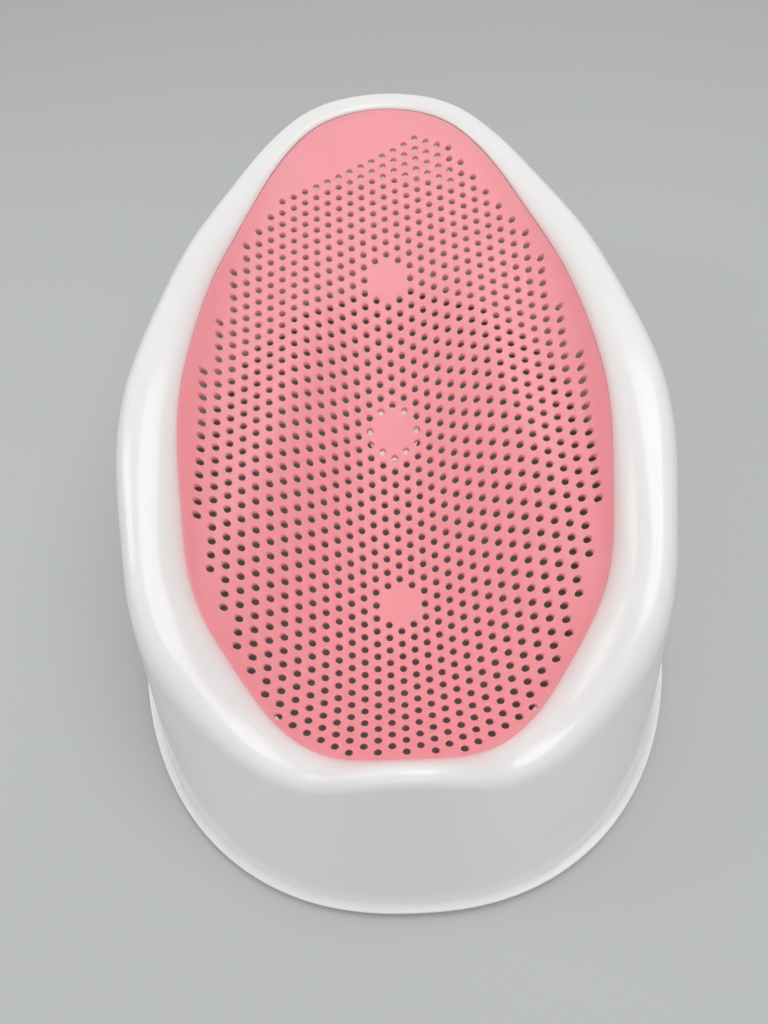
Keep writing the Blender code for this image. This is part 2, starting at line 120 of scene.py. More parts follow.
# Top surface of the seat: a trough between two straight shelves (height at places along Y)
TROUGH_LINE = (
    (-0.220, 0.098), (-0.180, 0.068), (-0.135, 0.0555), (-0.085, 0.062), (-0.025, 0.084),
    (0.045, 0.114), (0.125, 0.158), (0.260, 0.200),
)
SHELF_LINE = (
    (-0.220, 0.104), (-0.135, 0.112), (-0.045, 0.129), (0.055, 0.151), (0.155, 0.176),
    (0.260, 0.205),
)
TROUGH_HALF_WIDTH = ((-0.200, 0.133), (-0.070, 0.118), (0.070, 0.077), (0.210, 0.066))
TROUGH_SHAPE = 2.3
EDGE_RISE_ENDS = 0.004
EDGE_RISE_SIDES = 0.032
EDGE_REACH = 0.015

# Field of the seat's holes: its distance from the seat's edge, by angle, and its peak at the head
FIELD_MARGIN = (
    (0, 0.0125), (20, 0.0155), (31, 0.0100), (57, 0.0092), (75, 0.0075), (117, 0.0072),
    (131, 0.0122), (139, 0.0115), (150, 0.0050), (160, 0.0038), (180, 0.0038),
)
FIELD_PEAK = (0.02625, 0.2455)
FIELD_SLOPE = 0.537
FIELD_FOOT_Y = -0.214
LATTICE_Y = -0.043
PLAIN_DISCS_Y = (0.126, 0.0228, -0.0994)
FIELD_TURNS = 720
FIELD_STEP = 0.0002
HOLE_SIDES = 12

# Ring under the seat's border and its screws
FRAME_THICKNESS = 0.0032
FRAME_WIDTH = 0.0075
FRAME_SIDES = 240
SCREW_ANGLES = (12, 38, 66, 98, 132, 166)
SCREW_RADIUS = 0.00125
SCREW_HEAD_RADIUS = 0.0028
SCREW_HEAD_HEIGHT = 0.0022
SCREW_PAD_RADIUS = 0.0036
SCREW_PAD_HEIGHT = 0.002
SCREW_RECESS = (0.0028, 0.0006)
SCREW_FLAT_SHARE = 0.45
SCREW_DOME_SHARE = 0.6
SCREW_TIP = 0.0004
SCREW_SIDES = 20
BORE_SIDES = 12

# Collar under the middle plain disc, and the seat's rib inside it
COLLAR_Y = PLAIN_DISCS_Y[1]
COLLAR_RADIUS = 0.019
COLLAR_WALL = 0.0034
COLLAR_LIP = 0.0018
COLLAR_SIDES = 64
RIB_WALL = 0.0025
RIB_BEAD_HEIGHT = 0.003
RIB_SIDES = 48

# Feet and their bosses
FOOT_NODES = ("foot_pad_head_right", "foot_pad_foot_right", "foot_pad_foot_left", "foot_pad_head_left")
FOOT_RADIUS = 0.010
FOOT_DISC_HEIGHT = 0.004
STEM_RADIUS = 0.004
STEM_LENGTH = 0.008
BOSS_RADIUS = 0.011
BOSS_HEIGHT = 0.010
BOSS_SIDES = 40
FOOT_CORE_RADIUS = 0.0015
GROOVE_SHARES = (0.42, 0.7)
FOOT_SIDES = 32
STEM_BORE_SIDES = 24

# Openings through the shell's wall
HANG_SLOT_WIDTH = 0.126
HANG_SLOT_TOP_WIDTH = 0.080
HANG_SLOT_HEIGHT = 0.043
HANG_SLOT_BOTTOM = 0.133
HANG_SLOT_CORNER = 0.008
CORNER_STEPS = 6
HANG_SLOT_CUT_DEPTH = 0.054
SIDE_SLOT_LENGTH = 0.064
SIDE_SLOT_HEIGHT = 0.030
SIDE_SLOT_Y = 0.130
SIDE_SLOT_Z = 0.091
SIDE_SLOT_STEP = 15

# Finishes: roughness, share by which the colour darkens in places, scale and height of the fine
# grain and then of the broad waves, and what else the shader needs
SHELL_LIGHT = {"Coat Weight": 0.35, "Subsurface Weight": 0.8, "Subsurface Radius": (1.0, 0.9, 0.85)}
SEAT_LIGHT = {"Subsurface Weight": 0.7, "Subsurface Radius": (1.0, 0.6, 0.6)}
FINISHES = {
    "white_gloss_plastic": (0.24, 0.02, 900.0, 0.000006, 22.0, 0.00012, SHELL_LIGHT),
    "pink_soft_elastomer": (0.48, 0.05, 1500.0, 0.00001, 30.0, 0.0001, SEAT_LIGHT),
    "white_matte_plastic": (0.45, 0.03, 1200.0, 0.00001, 30.0, 0.00005, {}),
    "plain_steel": (0.3, 0.12, 2500.0, 0.000004, 300.0, 0.000004, {"Metallic": 1.0}),
    "grey_soft_rubber": (0.7, 0.1, 1800.0, 0.00002, 60.0, 0.00003, {}),
}
COAT_ROUGHNESS = 0.06
GLOW_DEPTH = 0.007
GLOSS_RANGE = (0.85, 1.2)
CLOUD_SCALE = 14.0
CLOUD_DETAIL = 3.0
GRAIN_DETAIL = 4.0
WAVE_DETAIL = 1.0

# Floor, just below the feet, and lamps: place, size and share of the lamp power
FLOOR_GAP = 0.0003
FLOOR_HALF = 6.0
FLOOR_ROUGHNESS = 0.9
FLOOR_SPECULAR = 0.2
LAMP_AIM = (0.0, 0.0, 0.1)
KEY_LAMP = ((0.3, 0.0, 1.5), (1.1, 1.1), 1.0)
LEFT_LAMP = ((-1.2, 0.1, 0.9), (0.5, 0.9), 1.0)
FOOT_LAMP = ((0.1, -1.5, 0.9), (0.9, 0.5), 0.5)

# Camera at the photograph's angle
CAMERA_PLACE = (0.0002, -0.33345, 0.5651)
CAMERA_TURN = (31.69, 2.09, -1.52)
CAMERA_LENS = 27.06
SENSOR_WIDTH = 36.0

# Angles, in degrees, up to which neighbouring faces are shaded as one surface
SHELL_SMOOTH = 35
SEAT_SMOOTH = 50
FITTING_SMOOTH = 40


def colour_setting(name, description, default):
    return FloatVectorProperty(
        name=name, description=description, default=default, subtype="COLOR", min=0, max=1
    )


def length_setting(name, description, default, low=0.0):
    return FloatProperty(name=name, description=description, default=default, min=low, unit="LENGTH")


class ShellSettings(bpy.types.PropertyGroup):
    """Sizes and finish of the white shell"""

    wall: length_setting("Wall", "Thickness of the moulded wall", 0.003, 0.001)
    stations: IntProperty(name="Stations", description="Sections round the shell", default=240, min=60)
    colour: colour_setting("Colour", "Colour of the white plastic", (0.87, 0.85, 0.83))
    roughness: FloatProperty(
        name="Roughness", description="Roughness under the gloss", subtype="FACTOR", min=0, max=1,
        default=FINISHES["white_gloss_plastic"][0],
    )


class SeatSettings(bpy.types.PropertyGroup):
    """Sizes and finish of the perforated seat"""

    thickness: length_setting("Thickness", "Thickness of the soft sheet", 0.003, 0.001)
    hole_radius: length_setting("Hole radius", "Radius of each round hole", 0.0025, 0.0005)
    hole_edge: length_setting("Hole edge", "Rounding of each hole's upper edge", 0.0005)
    column_spacing: length_setting("Column spacing", "Distance between hole columns", 0.00875)
    row_spacing: length_setting("Row spacing", "Distance between holes in a column", 0.0094)
    disc_radius: length_setting("Plain disc radius", "Reach of a plain disc", 0.0125)
    colour: colour_setting("Colour", "Colour of the soft pink seat", (1.0, 0.345, 0.38))


class FittingSettings(bpy.types.PropertyGroup):
    """Finish of the ring, the collar, the screws and the feet"""

    white: colour_setting("White", "Colour of the ring and the collar", (0.84, 0.84, 0.82))
    steel: colour_setting("Steel", "Colour of the screws", (0.60, 0.61, 0.62))
    foot_grey: colour_setting("Foot grey", "Colour of the soft feet", (0.55, 0.56, 0.56))


class StageSettings(bpy.types.PropertyGroup):
    """Floor and light"""

    floor_colour: colour_setting("Floor", "Colour of the plain floor", (0.50, 0.52, 0.51))
    sky: FloatProperty(name="Sky", description="Strength of the even light", default=0.58, min=0)
    key: FloatProperty(name="Key lamp", description="Power of the large soft lamp", default=9.5, unit="POWER")
    fill: FloatProperty(name="Fill lamp", description="Power of the smaller lamps", default=3.0, unit="POWER")


# ---- Curves and surfaces of the object ----


def smooth_curve(points, level_ends=False):
    """Cubic curve through the points, level or straight at its ends. It takes numbers or arrays."""
    xs = np.array([point[0] for point in points], dtype=float)
    ys = np.array([point[1] for point in points], dtype=float)
    count = len(xs)
    step = np.diff(xs)
    slope = np.diff(ys) / step
    matrix = np.zeros((count, count))
    right = np.zeros(count)
    for i in range(1, count - 1):
        matrix[i, i - 1 : i + 2] = step[i - 1], 2 * (step[i - 1] + step[i]), step[i]
        right[i] = 6 * (slope[i] - slope[i - 1])
    if level_ends:
        matrix[0, :2] = 2 * step[0], step[0]
        matrix[-1, -2:] = step[-1], 2 * step[-1]
        right[0] = 6 * slope[0]
        right[-1] = -6 * slope[-1]
    else:
        matrix[0, 0] = matrix[-1, -1] = 1
    bend = np.linalg.solve(matrix, right)
    start_slope = slope[0] - step[0] * (2 * bend[0] + bend[1]) / 6
    end_slope = slope[-1] + step[-1] * (bend[-2] + 2 * bend[-1]) / 6

    def value(x):
        x = np.asarray(x, dtype=float)
        i = np.clip(np.searchsorted(xs, x) - 1, 0, count - 2)
        t = x - xs[i]
        linear = slope[i] - step[i] * (2 * bend[i] + bend[i + 1]) / 6
        inside = ys[i] + t * linear + t * t * bend[i] / 2 + t**3 * (bend[i + 1] - bend[i]) / (6 * step[i])
        before = ys[0] + (x - xs[0]) * start_slope
        after = ys[-1] + (x - xs[-1]) * end_slope
        return np.where(x < xs[0], before, np.where(x > xs[-1], after, inside))

    return value


def polar_outline(points):
    """Radius by angle of a half outline that is given by its points."""
    return smooth_curve([(math.degrees(math.atan2(x, y)), math.hypot(x, y)) for x, y in points], True)


rim_radius_at = polar_outline([(x * RIM_WIDTH / 2, y * LENGTH / 2) for x, y in RIM_OUTLINE])
rim_band_at = smooth_curve(RIM_BAND, True)
rim_rise_at = smooth_curve(RIM_RISE, True)
trough_at = smooth_curve(TROUGH_LINE)
shelf_at = smooth_curve(SHELF_LINE)
trough_half_width_at = smooth_curve(TROUGH_HALF_WIDTH)


def half_angle(direction):
    direction = np.asarray(direction, dtype=float)
    return np.where(direction <= 180, direction, 360 - direction)


def on_ray(direction, radius):
    turn = np.radians(direction)
    return radius * np.sin(turn), radius * np.cos(turn)


def seat_edge_radius(angle):
    return rim_radius_at(angle) - rim_band_at(angle)


def seat_height(x, y):
    """Height of the seat's top surface over a place on the floor."""
    x = np.asarray(x, dtype=float)
    y = np.asarray(y, dtype=float)
    angle = np.degrees(np.arctan2(np.abs(x), y))
    share = np.minimum(np.abs(x) / trough_half_width_at(y), 1.0)
    trough = (1 - share**TROUGH_SHAPE) ** 2
    shelf = shelf_at(y)
    from_edge = seat_edge_radius(angle) - np.hypot(x, y)
    side = np.sin(np.radians(angle)) ** 2
    rise = EDGE_RISE_ENDS + (EDGE_RISE_SIDES - EDGE_RISE_ENDS) * side
    return shelf - (shelf - trough_at(y)) * trough + rise * np.exp(-from_edge / EDGE_REACH)


def seat_normals(x, y):
    delta = 0.0005
    slope_x = (seat_height(x + delta, y) - seat_height(x - delta, y)) / (2 * delta)
    slope_y = (seat_height(x, y + delta) - seat_height(x, y - delta)) / (2 * delta)
    normals = np.stack([-slope_x, -slope_y, np.ones_like(slope_x)], axis=-1)
    return normals / np.linalg.norm(normals, axis=-1, keepdims=True)


def seat_layer(x, y, depth):
    """Points a depth below the seat's top surface, measured along its normal."""
    top = np.stack([x, y, seat_height(x, y)], axis=-1)
    return top - depth * seat_normals(x, y)


def seat_ring(turns, inset, depth):
    x, y = on_ray(turns, seat_edge_radius(half_angle(turns)) - inset)
    return seat_layer(x, y, depth)


def base_radius(angle):
    """Radius of the base's outer edge, found along rays from the origin."""
    head_length = LENGTH / 2 - BASE_HEAD_INSET - BASE_WIDEST_Y
    foot_length = LENGTH / 2 + BASE_WIDEST_Y
    low = np.zeros_like(angle, dtype=float)
    high = np.full_like(low, LENGTH)
    for _ in range(BASE_HALVINGS):
        middle = (low + high) / 2
        x, y = on_ray(angle, middle)
        along = y - BASE_WIDEST_Y
        reach = np.where(along >= 0, head_length, foot_length)
        size = np.abs(x / (BASE_WIDTH / 2)) ** BASE_ROUNDNESS + np.abs(along / reach) ** BASE_ROUNDNESS
        low = np.where(size < 1, middle, low)
        high = np.where(size < 1, high, middle)
    return low


def crest_height(angle):
    x, y = on_ray(angle, seat_edge_radius(angle))
    share = np.where(y < 0, np.minimum(np.abs(x) / PUMMEL_HALF_WIDTH, 1.0), 1.0)
    pummel = PUMMEL_RISE * (1 - share**PUMMEL_SHAPE) ** 2
    return seat_height(x, y) + rim_rise_at(angle) + pummel


def ledge_depth(seat_thickness):
    return seat_thickness + FRAME_THICKNESS + 2 * GAP


def turns_round(count):
    return np.arange(count) * 360.0 / count


def roll_start(foot, rim, crest_radius, shoulder, crest):
    """Turn on the rim's rounding at which the straight wall meets it without an edge."""
    start = np.zeros_like(rim)
    for _ in range(ROLL_TRIES):
        radius = crest_radius + (rim - crest_radius) * np.cos(start)
        height = shoulder + (crest - shoulder) * np.sin(start)
        lean = (foot - radius) / (height - LIP_HEIGHT)
        start = np.arctan(lean * (crest - shoulder) / (rim - crest_radius))
    return start


def shell_rows(turns, seat_thickness):
    """Rings of the shell's outer face, from the floor over the rim to the ledge."""
    angle = half_angle(turns)
    lip = base_radius(angle)
    rim = rim_radius_at(angle)
    edge = seat_edge_radius(angle)
    edge_height = seat_height(*on_ray(angle, edge))
    crest = crest_height(angle)
    crest_radius = rim - ROLL_WIDTH_SHARE * rim_band_at(angle)
    shoulder = crest - ROLL_DROP_SHARE * rim_band_at(angle)
    level = np.ones_like(angle)
    rows = [(lip - LIP_EDGE, STANDING_GAP * level), (lip, (STANDING_GAP + LIP_EDGE) * level)]
    for turn in (0, 30, 60, 90):
        out = LIP_EDGE * (1 - math.cos(math.radians(turn)))
        up = LIP_EDGE * (1 - math.sin(math.radians(turn)))
        rows.append((lip - out, (LIP_HEIGHT - up) * level))
    foot = lip - LIP_STEP
    rows.append((foot + LIP_EDGE, LIP_HEIGHT * level))
    start = roll_start(foot, rim, crest_radius, shoulder, crest)
    roll = []
    for turn in np.linspace(start, math.pi / 2, ROLL_STEPS):
        radius = crest_radius + (rim - crest_radius) * np.cos(turn)
        roll.append((radius, shoulder + (crest - shoulder) * np.sin(turn)))
    wall_radius, wall_height = roll[0]
    fillet = LIP_EDGE * LIP_FILLET_SHARE
    rows.append((foot + fillet, (LIP_HEIGHT + fillet) * level))
    for share in np.linspace(LIP_EDGE / LIP_HEIGHT / 10, WALL_END_SHARE, WALL_STEPS):
        rows.append((foot + (wall_radius - foot) * share, LIP_HEIGHT + (wall_height - LIP_HEIGHT) * share))
    rows += roll
    for turn in range(90 - ROLL_INNER_STEP, -1, -ROLL_INNER_STEP):
        radius = crest_radius - (crest_radius - edge) * math.cos(math.radians(turn))
        rows.append((radius, edge_height + (crest - edge_height) * math.sin(math.radians(turn))))
    rings = [np.stack([*on_ray(turns, radius), height], axis=-1) for radius, height in rows]
    depth = ledge_depth(seat_thickness)
    rings.append(seat_ring(turns, 0.0, depth))
    rings.append(seat_ring(turns, FRAME_WIDTH, depth))
    return rings


# ---- Building tools ----


def new_piece(name, source, material=None):
    """Object at the origin from a mesh or bmesh, in the scene's own collection."""
    mesh = source
    if isinstance(source, bmesh.types.BMesh):
        mesh = bpy.data.meshes.new(name)
        source.to_mesh(mesh)
        source.free()
    piece = bpy.data.objects.new(name, mesh)
    if material:
        mesh.materials.append(material)
    bpy.context.scene.collection.objects.link(piece)
    return piece


def loft(bm, rings, closed_section):
    """Quads between neighbouring rings, each of which runs once round the piece."""
    rows = [[bm.verts.new(point) for point in ring] for ring in rings]
    count = len(rows) if closed_section else len(rows) - 1
    for i in range(count):
        here = rows[i]
        following = rows[(i + 1) % len(rows)]
        for j in range(len(here)):
            k = (j + 1) % len(here)
            bm.faces.new((here[j], here[k], following[k], following[j]))
    return rows


def turned(bm, profile, sides, placement=None):
    """Solid of revolution about Z with flat ends. The profile is (radius, height), bottom to top."""
    turns = np.radians(turns_round(sides))
    rings = []
    for radius, height in profile:
        ring = [Vector((radius * math.cos(turn), radius * math.sin(turn), height)) for turn in turns]
        rings.append([placement @ point for point in ring] if placement else ring)
    rows = loft(bm, rings, False)
    bm.faces.new(rows[0][::-1])
    bm.faces.new(rows[-1])


def prism(bm, outline, depth_vector):
    """Straight prism of a flat outline of points, pushed along the vector."""
    front = [bm.verts.new(point) for point in outline]
    back = [bm.verts.new(point + depth_vector) for point in outline]
    for i in range(len(outline)):
        k = (i + 1) % len(outline)
        bm.faces.new((front[i], front[k], back[k], back[i]))
    bm.faces.new(front[::-1])
    bm.faces.new(back)


def add_pins(bm, placements, radius, low, high, sides):
    """Plain cylinder along Z from low to high, at each placement."""
    for placement in placements:
        turned(bm, [(radius, low), (radius, high)], sides, placement)


def face_out(bm):
    bmesh.ops.recalc_face_normals(bm, faces=bm.faces)


def cut_or_join(target, bm, operation):
    """Cuts the solids in the bmesh from the target or joins them to it. Gives the helper object."""
    face_out(bm)
    tool = new_piece(f"{target.name}_{operation.lower()}", bm)
    modifier = target.modifiers.new(operation.title(), "BOOLEAN")
    modifier.operation = operation
    modifier.object = tool
    modifier.solver = "EXACT"
    tool.hide_render = True
    return tool


def make_plain(piece, smooth_angle=None):
    """Turns the evaluated object into a plain mesh without modifiers."""
    graph = bpy.context.evaluated_depsgraph_get()
    mesh = bpy.data.meshes.new_from_object(piece.evaluated_get(graph), depsgraph=graph)
    piece.modifiers.clear()
    piece.data = mesh
    mesh.name = piece.name
    if smooth_angle is not None:
        mesh.shade_smooth()
        mesh.set_sharp_from_angle(angle=math.radians(smooth_angle))


def discard(*helpers):
    for helper in helpers:
        bpy.data.objects.remove(helper, do_unlink=True)


def settle(piece, slot_name, *nodes):
    """Hides the solids that the finished piece stands for and hangs it on what it rides on."""
    if nodes:
        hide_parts(*nodes)
    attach(piece, BODY)


def finish_material(name):
    material = bpy.data.materials.get(name)
    if material:
        bpy.data.materials.remove(material)
    material = bpy.data.materials.new(name)
    material.use_nodes = True
    return material


def noise(material, place, scale, detail):
    """Noise on the object's own coordinates, and its strength."""
    made = material.node_tree.nodes.new("ShaderNodeTexNoise")
    made.inputs["Scale"].default_value = scale
    made.inputs["Detail"].default_value = detail
    material.node_tree.links.new(place.outputs["Object"], made.inputs["Vector"])
    return made.outputs["Fac"]


def bump(material, height, distance):
    made = material.node_tree.nodes.new("ShaderNodeBump")
    made.inputs["Strength"].default_value = 1.0
    made.inputs["Distance"].default_value = distance
    material.node_tree.links.new(height, made.inputs["Height"])
    return made


def plastic(name, colour, roughness=None):
    """Procedural finish: uneven colour and roughness, and a moulded surface of two noise scales."""
    own_roughness, darkening, fine_scale, fine_height, wave_scale, wave_height, extras = FINISHES[name]
    roughness = own_roughness if roughness is None else roughness
    material = finish_material(name)
    nodes = material.node_tree.nodes
    links = material.node_tree.links
    shader = nodes["Principled BSDF"]
    shader.inputs["Coat Roughness"].default_value = COAT_ROUGHNESS
    shader.inputs["Subsurface Scale"].default_value = GLOW_DEPTH
    for key, value in extras.items():
        shader.inputs[key].default_value = value
    place = nodes.new("ShaderNodeTexCoord")

    clouds = noise(material, place, CLOUD_SCALE, CLOUD_DETAIL)
    tint = nodes.new("ShaderNodeMix")
    tint.data_type = "RGBA"
    darker = [channel * (1 - darkening) for channel in colour]
    tint.inputs["A"].default_value = (*colour, 1)
    tint.inputs["B"].default_value = (*darker, 1)
    links.new(clouds, tint.inputs["Factor"])
    links.new(tint.outputs["Result"], shader.inputs["Base Color"])
    gloss = nodes.new("ShaderNodeMapRange")
    gloss.inputs["To Min"].default_value = roughness * GLOSS_RANGE[0]
    gloss.inputs["To Max"].default_value = roughness * GLOSS_RANGE[1]
    links.new(clouds, gloss.inputs["Value"])
    links.new(gloss.outputs["Result"], shader.inputs["Roughness"])

    fine = bump(material, noise(material, place, fine_scale, GRAIN_DETAIL), fine_height)
    broad = bump(material, noise(material, place, wave_scale, WAVE_DETAIL), wave_height)
    links.new(broad.outputs["Normal"], fine.inputs["Normal"])
    links.new(fine.outputs["Normal"], shader.inputs["Normal"])
    return material


# ---- Geometry node trees ----


class NodeTree:
    """A geometry node tree with named inputs, put together step by step."""

    def __init__(self, name):
        self.tree = bpy.data.node_groups.new(name, "GeometryNodeTree")
        self.tree.interface.new_socket("Geometry", in_out="OUTPUT", socket_type="NodeSocketGeometry")
        self.identifiers = {}
        self.add_input("Geometry", "NodeSocketGeometry")
        self.entry = None

    def add_input(self, name, kind, default=None):
        socket = self.tree.interface.new_socket(name, in_out="INPUT", socket_type=kind)
        if default is not None:
            socket.default_value = default
        self.identifiers[name] = socket.identifier

    def start(self):
        self.entry = self.tree.nodes.new("NodeGroupInput")

    def given(self, name):
        return self.entry.outputs[name]

    def node(self, kind, settings=None, **values):
        """New node. Values go to inputs by name: a socket is linked, anything else is set."""
        made = self.tree.nodes.new(kind)
        for key, setting in (settings or {}).items():
            setattr(made, key, setting)
        for key, value in values.items():
            self.feed(made.inputs[key.replace("_", " ")], value)
        return made

    def feed(self, socket, value):
        if isinstance(value, bpy.types.NodeSocket):
            self.tree.links.new(value, socket)
        else:
            socket.default_value = value

    def math(self, operation, *values, kind="ShaderNodeMath", output=0):
        made = self.node(kind, {"operation": operation})
        for socket, value in zip(made.inputs, values):
            self.feed(socket, value)
        return made.outputs[output]

    def vector_math(self, operation, *values, output="Vector"):
        return self.math(operation, *values, kind="ShaderNodeVectorMath", output=output)

    def end(self, geometry, material):
        realized = self.node("GeometryNodeRealizeInstances", Geometry=geometry)
        painted = self.node("GeometryNodeSetMaterial", Geometry=realized.outputs[0], Material=material)
        leave = self.tree.nodes.new("NodeGroupOutput")
        self.feed(leave.inputs[0], painted.outputs[0])

    def put_on(self, piece, values):
        modifier = piece.modifiers.new(self.tree.name, "NODES")
        modifier.node_group = self.tree
        for name, value in values.items():
            modifier[self.identifiers[name]] = value


def perforation_tree(seat):
    """Cuts a staggered pattern of round holes into a curved sheet, inside a flat field outline."""
    made = NodeTree("perforations")
    made.add_input("Field", "NodeSocketObject")
    made.add_input("Hole cutter", "NodeSocketObject")
    made.add_input("Material", "NodeSocketMaterial")
    made.add_input("Column spacing", "NodeSocketFloat", seat.column_spacing)
    made.add_input("Row spacing", "NodeSocketFloat", seat.row_spacing)
    made.add_input("Pattern Y", "NodeSocketFloat", LATTICE_Y)
    made.add_input("Plain disc radius", "NodeSocketFloat", seat.disc_radius)
    made.add_input("Columns", "NodeSocketInt", 2 * int(RIM_WIDTH / 4 / seat.column_spacing) + 1)
    made.add_input("Rows", "NodeSocketInt", 2 * int(LENGTH / 2 / seat.row_spacing) + 3)
    made.start()
    columns = made.given("Columns")
    rows = made.given("Rows")
    column_steps = made.math("SUBTRACT", columns, 1.0)
    pair_spacing = made.math("MULTIPLY", made.given("Column spacing"), 2.0)
    width = made.math("MULTIPLY", pair_spacing, column_steps)
    row_steps = made.math("SUBTRACT", rows, 1.0)
    depth = made.math("MULTIPLY", made.given("Row spacing"), row_steps)
    grid = made.node("GeometryNodeMeshGrid", Size_X=width, Size_Y=depth, Vertices_X=columns, Vertices_Y=rows)
    centre = made.node("ShaderNodeCombineXYZ", Y=made.given("Pattern Y"))
    even = made.node("GeometryNodeTransform", Geometry=grid.outputs["Mesh"], Translation=centre.outputs[0])
    half_row = made.math("MULTIPLY", made.given("Row spacing"), 0.5)
    shifted_y = made.math("ADD", made.given("Pattern Y"), half_row)
    shift = made.node("ShaderNodeCombineXYZ", X=made.given("Column spacing"), Y=shifted_y)
    odd = made.node("GeometryNodeTransform", Geometry=grid.outputs["Mesh"], Translation=shift.outputs[0])
    both = made.node("GeometryNodeJoinGeometry")
    made.feed(both.inputs[0], even.outputs[0])
    made.feed(both.inputs[0], odd.outputs[0])

    here = made.node("GeometryNodeInputPosition").outputs[0]
    field = made.node("GeometryNodeObjectInfo", Object=made.given("Field")).outputs["Geometry"]
    above = made.vector_math("ADD", here, (0.0, 0.0, 1.0))
    look = made.node("GeometryNodeRaycast", Target_Geometry=field, Source_Position=above)
    look.inputs["Ray Direction"].default_value = (0, 0, -1)
    wanted = look.outputs["Is Hit"]
    for disc in PLAIN_DISCS_Y:
        distance = made.vector_math("DISTANCE", here, (0.0, disc, 0.0), output="Value")
        outside = made.math("GREATER_THAN", distance, made.given("Plain disc radius"))
        wanted = made.math("MULTIPLY", wanted, outside)

    points = made.node("GeometryNodeMeshToPoints", Mesh=both.outputs[0], Selection=wanted)
    cutter = made.node("GeometryNodeObjectInfo", Object=made.given("Hole cutter")).outputs["Geometry"]
    cutters = made.node("GeometryNodeInstanceOnPoints", Points=points.outputs[0], Instance=cutter)
    loose = made.node("GeometryNodeRealizeInstances", Geometry=cutters.outputs[0])
    over = made.vector_math("MULTIPLY_ADD", here, (1.0, 1.0, 0.0), (0.0, 0.0, 1.0))
    sheet = made.given("Geometry")
    drop = made.node("GeometryNodeRaycast", Target_Geometry=sheet, Source_Position=over)
    drop.inputs["Ray Direction"].default_value = (0, 0, -1)
    lift = made.vector_math("MULTIPLY", drop.outputs["Hit Position"], (0.0, 0.0, 1.0))
    fitted = made.node("GeometryNodeSetPosition", Geometry=loose.outputs[0], Offset=lift)
    cut = made.node("GeometryNodeMeshBoolean", {"operation": "DIFFERENCE", "solver": "MANIFOLD"})
    made.feed(cut.inputs["Mesh 1"], sheet)
    made.feed(cut.inputs["Mesh 2"], fitted.outputs[0])
    made.end(cut.outputs["Mesh"], made.given("Material"))
    return made


def fastening_tree():
    """Sets a copy of one fitting on each vertex, turned to that vertex's axis."""
    made = NodeTree("fittings")
    made.add_input("Fitting", "NodeSocketObject")
    made.add_input("Material", "NodeSocketMaterial")
    made.start()
    axis = made.node("GeometryNodeInputNamedAttribute", {"data_type": "FLOAT_VECTOR"}, Name="axis")
    turn = made.node("FunctionNodeAlignRotationToVector", {"axis": "Z"}, Vector=axis.outputs["Attribute"])
    fitting = made.node("GeometryNodeObjectInfo", Object=made.given("Fitting")).outputs["Geometry"]
    copies = made.node(
        "GeometryNodeInstanceOnPoints",
        Points=made.given("Geometry"),
        Instance=fitting,
        Rotation=turn.outputs["Rotation"],
    )
    made.end(copies.outputs[0], made.given("Material"))
    return made


def set_fittings(name, source, places, axes, material):
    """One plain mesh of a copy of the source at each place, turned to its axis."""
    mesh = bpy.data.meshes.new(name)
    mesh.from_pydata([tuple(place) for place in places], [], [])
    attribute = mesh.attributes.new("axis", "FLOAT_VECTOR", "POINT")
    attribute.data.foreach_set("vector", np.array(axes, dtype=np.float32).ravel())
    piece = new_piece(name, mesh)
    fastening_tree().put_on(piece, {"Fitting": source, "Material": material})
    make_plain(piece, FITTING_SMOOTH)
    discard(source)
    return piece


# ---- Shell ----


def screw_turns():
    return list(SCREW_ANGLES) + [360 - angle for angle in reversed(SCREW_ANGLES)]


def screw_seats(depth):
    """Places on the screws' axes at a depth under the seat's surface, and the axes."""
    turns = np.array(screw_turns(), dtype=float)
    x, y = on_ray(turns, seat_edge_radius(half_angle(turns)) - FRAME_WIDTH / 2)
    return seat_layer(x, y, depth), seat_normals(x, y)


def axis_placements(depth):
    placements = []
    for place, axis in zip(*screw_seats(depth)):
        turn = Vector(axis).to_track_quat("Z", "Y").to_matrix().to_4x4()
        placements.append(Matrix.Translation(place) @ turn)
    return placements


def foot_places():
    """Middle of each foot's underside, taken from its solid."""
    places = []
    for node in FOOT_NODES:
        low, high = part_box(node)
        places.append(Vector(((low.x + high.x) / 2, (low.y + high.y) / 2, low.z)))
    return places


def corner_curve(start, corner, end):
    """Points of a curve from start to end that the corner pulls outwards."""
    points = []
    for step in range(CORNER_STEPS + 1):
        t = step / CORNER_STEPS
        weights = ((1 - t) ** 2, 2 * t * (1 - t), t**2)
        parts = tuple(zip(weights, (start, corner, end)))
        points.append(tuple(sum(weight * point[i] for weight, point in parts) for i in (0, 1)))
    return points


def add_hang_slot(bm):
    """Opening in the wall behind the head: a trapezoid with rounded corners."""
    low = HANG_SLOT_BOTTOM
    high = low + HANG_SLOT_HEIGHT
    wide = HANG_SLOT_WIDTH / 2
    narrow = HANG_SLOT_TOP_WIDTH / 2
    cut = HANG_SLOT_CORNER
    half = corner_curve((wide - cut, low), (wide, low), (wide, low + cut))
    half += corner_curve((narrow + cut, high - cut), (narrow + cut / 2, high), (narrow, high))
    outline = half + [(-x, z) for x, z in reversed(half)]
    behind = LENGTH / 2 + HANG_SLOT_CUT_DEPTH / 3
    prism(bm, [Vector((x, behind, z)) for x, z in outline], Vector((0, -HANG_SLOT_CUT_DEPTH, 0)))


